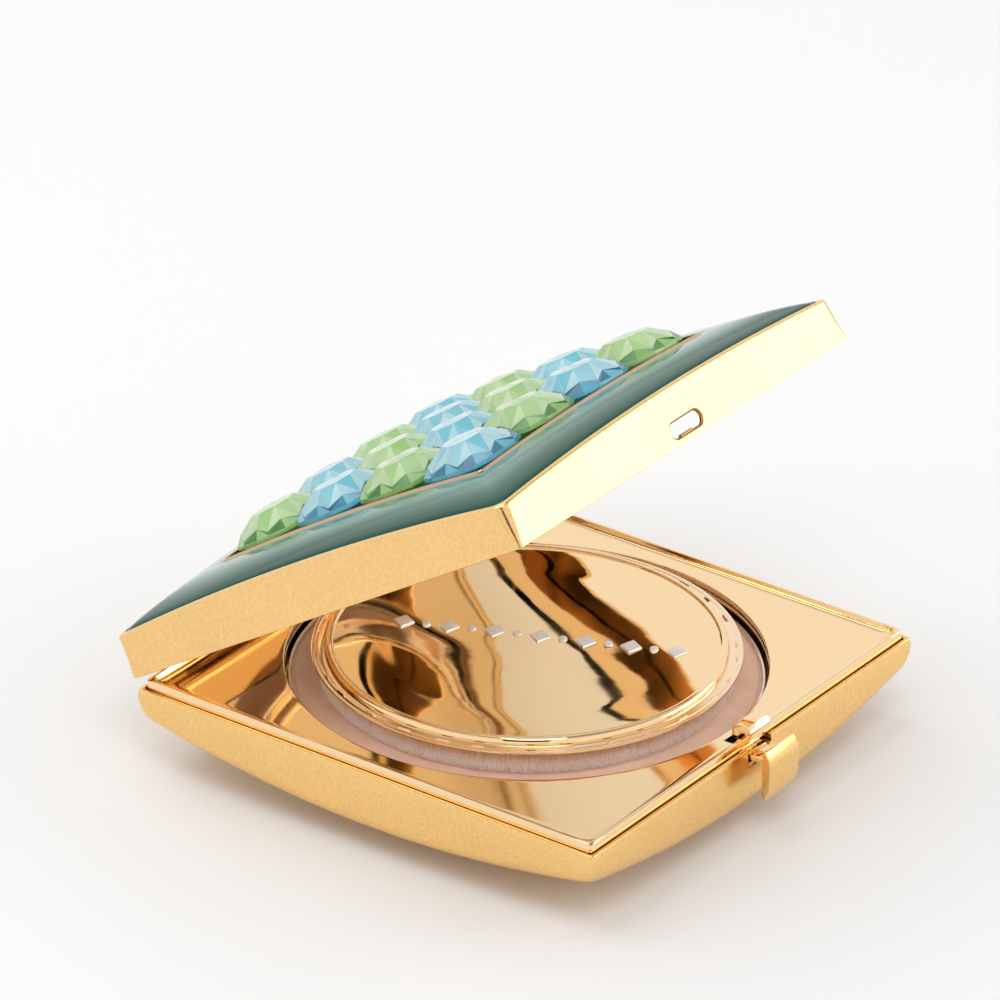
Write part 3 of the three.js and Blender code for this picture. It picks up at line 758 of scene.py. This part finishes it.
def latch():
    low, high = corners("catch_hook")
    wide = high[0] - low[0]
    nose_low, nose_top = high[2] - MM - LATCH[2], high[2] - LATCH[2]
    arm_end, arm = low[1] - LATCH[1], 0.7 * MM
    back = high[1] - LATCH[1]
    tip = -1.8 * MM
    inner = back - 0.95 * MM
    spine = [(arm_end, 0), (-0.7 * MM, 0), (-0.45 * MM, -0.5 * MM), (back - 0.35 * MM, -0.5 * MM)]
    spine += [(back, -0.15 * MM)] + arc((back - 0.6 * MM, nose_top - 0.6 * MM), 0.6 * MM, 0, 90, 6)
    spine += [(tip + 0.6 * MM, nose_top), (tip, nose_low + 0.35 * MM), (tip, nose_low)]
    spine += [(inner - 0.4 * MM, nose_low), (inner, nose_low - 0.4 * MM), (inner, arm + 0.3 * MM)]
    spine += [(inner - 0.3 * MM, arm), (arm_end, arm)]
    hook = strip("catch hook", spine, wide, "latch", BRIGHT, LATCH, 0.09 * MM)
    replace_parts(hook, "catch_hook")

    low, high = corners("thumb_piece")
    wide = high[0] - low[0]
    inner_face, outer_face = high[1] - LATCH[1], low[1] - LATCH[1]
    top, bottom = high[2] - LATCH[2], low[2] - LATCH[2]
    outline = [(inner_face, bottom + 0.5 * MM), (inner_face, top - 0.3 * MM)]
    outline += [(inner_face - 0.1 * MM, top - 0.08 * MM), (inner_face - 0.35 * MM, top)]
    thick = inner_face - outer_face
    for i in range(13):
        t = i / 12
        z = top - 0.12 * MM + (bottom + 0.3 * MM - top) * t
        curl = 0.5 * math.exp(-((t / 0.12) ** 2)) + 0.35 * math.exp(-(((1 - t) / 0.14) ** 2))
        belly = 1 - (2 * t - 1) ** 2
        outline.append((outer_face + thick * (curl + 0.12 * (1 - belly)), z))
    outline += [(inner_face - 0.45 * thick, bottom), (inner_face - 0.2 * thick, bottom + 0.1 * MM)]
    thumb = strip("thumb piece", outline, wide, "latch", SATIN, LATCH, 0.16 * MM)
    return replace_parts(thumb, "thumb_piece")


# ---- lid ----


def lid_drop(x, y):
    return LID_DROP * (x * x + y * y - LID_HALF**2) / LID_HALF**2


def crown(half):
    out = LID_HALF - LID_RIM
    t = min(1.0, max(0.0, (out - half) / (out - FIELD)))
    return CROWN * (1 - (1 - t) ** 2.4)


def lid_shell():
    under = LID_HEIGHT - ENAMEL_DEEP
    seat = under + CROWN
    rings = []
    for share, corner in ((0.0, 0.5), (0.01, 0.55), (0.12, 0.6), (0.24, 0.8), (0.37, 1.05), (0.5, 1.2),
                          (0.66, 1.35), (0.8, 1.45), (0.88, 1.5)):
        inset = 0.1 * MM if share == 0 else 0
        ring = square_ring(LID_HALF - inset, corner * MM)
        rings.append(domed(ring, share * LID_HEIGHT, lid_drop, share))
    turn = 0.36 * MM
    for i in range(8):
        a = i / 7 * math.pi / 2
        half = LID_HALF - turn + turn * math.cos(a)
        height = LID_HEIGHT - 0.1 * MM - turn + turn * math.sin(a)
        rings.append(domed(square_ring(half, CUSHION), height, lid_drop))
    for inset, down in ((0, 0.1 * MM), (0.05 * MM, 0.3 * MM)):
        ring = square_ring(LID_HALF - LID_RIM - inset, CUSHION)
        rings.append(domed(ring, LID_HEIGHT - down, lid_drop))
    halves = np.linspace(LID_HALF - LID_RIM - 0.07 * MM, FIELD, 7)
    for half in halves:
        rings.append(domed(square_ring(half, CUSHION * 0.8), under + crown(half), lid_drop))
    middle = [square_ring(FIELD * k, CUSHION * 0.8 * k) for k in (0.7, 0.4, 0.05)]
    rings += [domed(ring, seat, lid_drop) for ring in middle]
    inside = []
    wall_in = LID_HALF - SHEET
    for share, corner in ((0.0, 0.5), (0.24, 0.6), (0.45, 1.0), (0.64, 1.6)):
        ring = square_ring(wall_in + (0.08 * MM if share == 0 else 0), corner * MM)
        inside.append(domed(ring, share * LID_HEIGHT, lid_drop, min(0.72, share * 1.12)))
    for half in halves:
        ring = square_ring(half - SHEET / 2, CUSHION * 0.8)
        inside.append(domed(ring, under + crown(half) - SHEET, lid_drop))
    inside += [domed(ring, seat - SHEET, lid_drop) for ring in middle]
    points, faces = lofted(rings[::-1] + inside)
    obj = add_mesh("lid shell", points, outward(points, faces), "lid", LID_GOLD, place=LID)
    centre = (LATCH[0], -LID_HALF, SLOT_UP)
    outline = []
    for side in (1, -1):
        for i in range(13):
            a = i / 12 * math.pi - math.pi / 2
            x = side * ((SLOT_WIDE - SLOT_TALL) / 2 + SLOT_TALL / 2 * math.cos(a))
            outline.append((centre[0] + x, centre[2] + side * SLOT_TALL / 2 * math.sin(a)))
    n = len(outline)
    points = [(x, centre[1] + deep, z) for deep in (-2 * MM, 2 * MM) for x, z in outline]
    faces = [(i, (i + 1) % n, n + (i + 1) % n, n + i) for i in range(n)]
    faces += [tuple(reversed(range(n))), tuple(range(n, 2 * n))]
    cut(obj, points, outward(points, faces), LID)
    slot_edge(centre)
    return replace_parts(obj, "lid_shell")


def slot_edge(centre):
    """A rolled edge round the slot, and the small ledge that the catch closes over, both in dark brass
    as painted shade.
    """
    rings = []
    roll = 0.28 * MM
    for i in range(48):
        a = i / 48 * 2 * math.pi
        straight = (SLOT_WIDE - SLOT_TALL) / 2 * (1 if math.cos(a) > 0 else -1)
        x = centre[0] + straight + SLOT_TALL / 2 * math.cos(a)
        z = centre[2] + SLOT_TALL / 2 * math.sin(a)
        out = np.array([math.cos(a), 0, math.sin(a)])
        spot = np.array([x, centre[1] + 0.3 * MM, z])
        ring = []
        for j in range(10):
            b = j / 10 * 2 * math.pi
            ring.append(spot + roll * (out * math.cos(b) + np.array([0, math.sin(b), 0])))
        rings.append(np.array(ring))
    points, faces = lofted(rings, loop=True)
    edge = add_mesh("slot roll", points, outward(points, faces), "lid", SHADE_BRASS, place=LID)
    bottom = centre[2] - SLOT_TALL / 2
    low = (centre[0] - 1.5 * MM, centre[1] + 0.15 * MM, bottom - 0.1 * MM)
    high = (centre[0] + 0.9 * MM, centre[1] + 0.62 * MM, bottom + 0.45 * MM)
    tongue = add_mesh("slot tongue", *boxed(low, high), "lid", SHADE_BRASS, place=LID)
    bevelled(tongue, 0.1 * MM)


def enamel_border():
    inner, outer = FIELD + 0.12 * MM, LID_HALF - LID_RIM - 0.1 * MM
    top_rings = []
    for i in range(19):
        t = i / 18
        half = outer + (inner - outer) * t
        height = LID_HEIGHT - 0.12 * MM + crown(half)
        lip = 0.18 * MM * math.exp(-t * 40) + 0.12 * MM * math.exp(-(1 - t) * 40)
        top_rings.append(domed(square_ring(half, CUSHION * (1 - 0.55 * t)), height - lip, lid_drop))
    low = LID_HEIGHT - 0.95 * MM
    under = [
        domed(square_ring(half, CUSHION * share), low + crown(half), lid_drop)
        for half, share in ((inner, 0.45), ((inner + outer) / 2 + 0.001 * MM, 1), (outer, 1))
    ]
    points, faces = lofted(top_rings + under, loop=True)
    faces = outward(points, faces)
    obj = add_mesh("enamel border", points, faces, "lid", enamel_glaze(), crease=60, place=LID)
    run = obj.data.attributes.new("run", "FLOAT", "POINT")
    reach = np.abs(np.array(points)[:, :2]).max(axis=1)
    run.data.foreach_set("value", np.clip((outer - reach) / (outer - inner), 0, 1))
    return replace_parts(obj, "enamel_border")


def gem_bezel():
    outer, inner = FIELD, FIELD - BEZEL
    low, top = LID_HEIGHT + CROWN - 0.75 * MM, LID_HEIGHT + CROWN + 0.06 * MM
    rings = []
    for half, height in ((inner, low), (outer, low), (outer, top - 0.1 * MM), (outer - 0.08 * MM, top),
                         (inner + 0.08 * MM, top), (inner, top - 0.1 * MM)):
        rings.append(domed(square_ring(half, 0.5 * MM, side=60), height, lid_drop))
    points, faces = lofted(rings, loop=True)
    obj = add_mesh("crystal bezel", points, outward(points, faces), "lid", ROSE, place=LID)
    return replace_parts(obj, "gem_bezel")


def gem_tray():
    half = FIELD - BEZEL - 0.02 * MM
    low = LID_HEIGHT - ENAMEL_DEEP + CROWN + TRAY_GAP
    top = low + GEM_TRAY
    levels = [(k, low) for k in (0.05, 0.5, 1.0)] + [(k, top) for k in (1.0, 0.75, 0.5, 0.25, 0.05)]
    rings = [domed(square_ring(half * k, 0.5 * MM * k), z, lid_drop) for k, z in levels]
    points, faces = lofted(rings)
    obj = add_mesh("crystal tray", points, outward(points, faces), "lid", SILVER, place=LID)
    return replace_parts(obj, "gem_tray")


def crystal(node, column, row):
    """A cut crystal: a low top, eight shoulders, kites down to pointed tips, and a square girdle."""
    pitch = GEM_FIELD / GEMS
    half = (pitch - GEM_GAP) / 2
    x, y = ((step - (GEMS - 1) / 2) * pitch for step in (column, row))
    top, shoulder, girdle = 2.75 * MM, 2.75 * MM, 0.45 * MM

    def outline(angle, reach=1.0):
        edge = half / max(abs(math.cos(angle)), abs(math.sin(angle)))
        edge = min(edge, half * 1.16) * reach
        return edge * math.cos(angle), edge * math.sin(angle)

    points = [(0, 0, top)]
    eighth = math.pi / 4
    for i in range(8):
        x_out, y_out = shoulder * math.cos(i * eighth), shoulder * math.sin(i * eighth)
        points.append((x_out, y_out, top - 0.26 * MM))
    points += [(*outline((i + 0.5) * eighth, 0.97), 0.5 * MM) for i in range(8)]
    points += [(*outline(i * eighth, 0.83), 1.12 * MM) for i in range(8)]
    points += [(*outline((i + 0.5) * eighth), 0.1 * MM) for i in range(8)]
    points += [(*outline(i * eighth), 0.0) for i in range(8)]
    points += [(*outline((i + 0.5) * eighth), -girdle) for i in range(8)]
    points += [(*outline(i * eighth), -girdle) for i in range(8)]
    faces, facet_shades = [], []

    def facet(depth, *corners):
        faces.append(corners)
        facet_shades.append(min(1, max(0, depth + draw.uniform(-0.12, 0.12))))

    # Each facet's first number is its painted light and shade: near 0 a pale lit facet, near 1 a deep
    # shaded one.
    for i in range(8):
        k, p = (i + 1) % 8, (i - 1) % 8
        facet(0.0, 0, 1 + i, 1 + k)
        facet(0.34, 1 + i, 9 + i, 1 + k)
        facet(0.05, 1 + i, 9 + p, 17 + i)
        facet(0.26, 1 + i, 17 + i, 9 + i)
        facet(0.98, 9 + i, 17 + i, 25 + i)
        facet(0.8, 17 + k, 9 + i, 25 + i)
        facet(0.55, 17 + i, 33 + i, 25 + i)
        facet(0.95, 17 + k, 25 + i, 33 + k)
        facet(0.5, 33 + i, 49 + i, 41 + i, 25 + i)
        facet(0.5, 25 + i, 41 + i, 49 + k, 33 + k)
    bottom = []
    for i in range(8):
        bottom += [49 + i, 41 + i]
    facet(0.7, *reversed(bottom))
    seat = LID_HEIGHT - ENAMEL_DEEP + CROWN + 2 * TRAY_GAP + GEM_TRAY
    lean = 2 * LID_DROP / LID_HALF**2
    place = (
        LID
        @ Matrix.Translation((x, y, seat + girdle - lid_drop(x, y)))
        @ Matrix.Rotation(-y * lean, 4, "X")
        @ Matrix.Rotation(x * lean, 4, "Y")
    )
    glass = GREEN if node.endswith("green") else BLUE
    obj = add_mesh(node.replace("_", " "), points, faces, "lid", glass, smooth=False, place=place)
    depth = obj.data.attributes.new("depth", "FLOAT", "FACE")
    depth.data.foreach_set("value", facet_shades)
    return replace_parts(obj, node)


# ---- pieces that keep their CAD shape, with softened edges and a finish ----


def finished(node, material, width=0.0):
    obj = frame["nodes"][node]
    obj.data.materials.clear()
    obj.data.materials.append(material)
    if width:
        bevelled(obj, width, 2, 40)
    return obj


base_shell()
inner_tray()
powder_pan()
powder_cake()
puff_pile()
puff_cover()
latch()
lid_shell()
enamel_border()
gem_bezel()
gem_tray()
for node in sorted(frame["nodes"]):
    words = node.split("_")
    if words[0] == "gem" and len(words) == 4:
        crystal(node, int(words[2]) - 1, int(words[1]) - 1)
for node, material, width in (
    ("latch_bracket", BRIGHT, 0.05 * MM),
    ("latch_pin", STEEL, 0.08 * MM),
    ("latch_spring", STEEL, 0.0),
    ("hinge_base_leaf", SATIN, 0.06 * MM),
    ("hinge_lid_leaf", SATIN, 0.06 * MM),
    ("hinge_pin", STEEL, 0.1 * MM),
    ("mirror_frame", BRIGHT, 0.08 * MM),
    ("mirror_glass", mirror_silver(), 0.1 * MM),
    ("mirror_pad", grey_card(), 0.0),
):
    finished(node, material, width)

# ---- floor, light and camera ----


def flat_card(name, size, place, tone):
    look = Look(name, Base_Color=(tone, tone, tone), Roughness=0.7)
    mesh = bpy.data.meshes.new(name)
    around = [(-size, -size, 0), (size, -size, 0), (size, size, 0), (-size, size, 0)]
    mesh.from_pydata(around, [], [(0, 1, 2, 3)])
    mesh.materials.append(look.material)
    card = bpy.data.objects.new(name, mesh)
    card.matrix_world = place
    bpy.context.scene.collection.objects.link(card)


def soft_box(name, spot, aim, wide, tall, power, tone=(1, 1, 1)):
    light = bpy.data.lights.new(name, "AREA")
    light.shape, light.size, light.size_y = "RECTANGLE", wide, tall
    light.energy, light.color = power, tone
    obj = bpy.data.objects.new(name, light)
    obj.location = spot
    obj.rotation_euler = (Vector(aim) - Vector(spot)).to_track_quat("-Z", "Y").to_euler()
    bpy.context.scene.collection.objects.link(obj)
    return obj


def studio():
    """An even pale room that darkens overhead, with soft lights above, to the side and in front."""
    world = bpy.data.worlds.new("studio")
    world.use_nodes = True
    tree = world.node_tree
    back = tree.nodes["Background"]
    spot = tree.nodes.new("ShaderNodeTexCoord")
    split = tree.nodes.new("ShaderNodeSeparateXYZ")
    fade = tree.nodes.new("ShaderNodeMapRange")
    fade.interpolation_type = "SMOOTHSTEP"
    for key, value in (("From Min", 0.55), ("From Max", 0.95), ("To Min", 1.0), ("To Max", 0.35)):
        fade.inputs[key].default_value = value
    tree.links.new(spot.outputs["Generated"], split.inputs[0])
    tree.links.new(split.outputs["Z"], fade.inputs["Value"])
    tree.links.new(fade.outputs["Result"], back.inputs["Strength"])
    back.inputs["Color"].default_value = (1, 1, 1, 1)
    bpy.context.scene.world = world
    soft_box("overhead", (-0.1, 0.35, 0.8), (0, 0, 0), 0.7, 0.7, 2.6)
    soft_box("side", (0.9, -0.8, 0.42), (0, 0, 0.03), 0.9, 0.45, 2.9)
    soft_box("front", (-0.55, -0.5, 1.15), (0, 0, 0), 0.6, 0.6, 3.8)
    bpy.context.scene.view_settings.view_transform = "Standard"


def camera():
    data = bpy.data.cameras.new("camera")
    data.lens, data.sensor_width = 323.4, 36
    data.clip_start, data.clip_end = 0.01, 20
    obj = bpy.data.objects.new("camera", data)
    forward = Vector((0.7192, 0.5133, -0.4682)).normalized()
    right = forward.cross(Vector((0, 0, 1))).normalized()
    up = right.cross(forward)
    roll = math.radians(0.84)
    across = right * math.cos(roll) + up * math.sin(roll)
    upward = up * math.cos(roll) - right * math.sin(roll)
    turn = Matrix((across, upward, -forward)).transposed().to_4x4()
    obj.matrix_world = Matrix.Translation((-0.75936, -0.53771, 0.51476 + RIM)) @ turn
    bpy.context.scene.collection.objects.link(obj)
    bpy.context.scene.camera = obj


flat_card("floor", 4, Matrix.Identity(4), 0.84)
behind = Vector((-1.06, -0.76, 0.70))
facing = behind.to_track_quat("Z", "Y").to_matrix().to_4x4()
flat_card("dark card", 0.3, Matrix.Translation(behind) @ facing, 0.01)
studio()
camera()
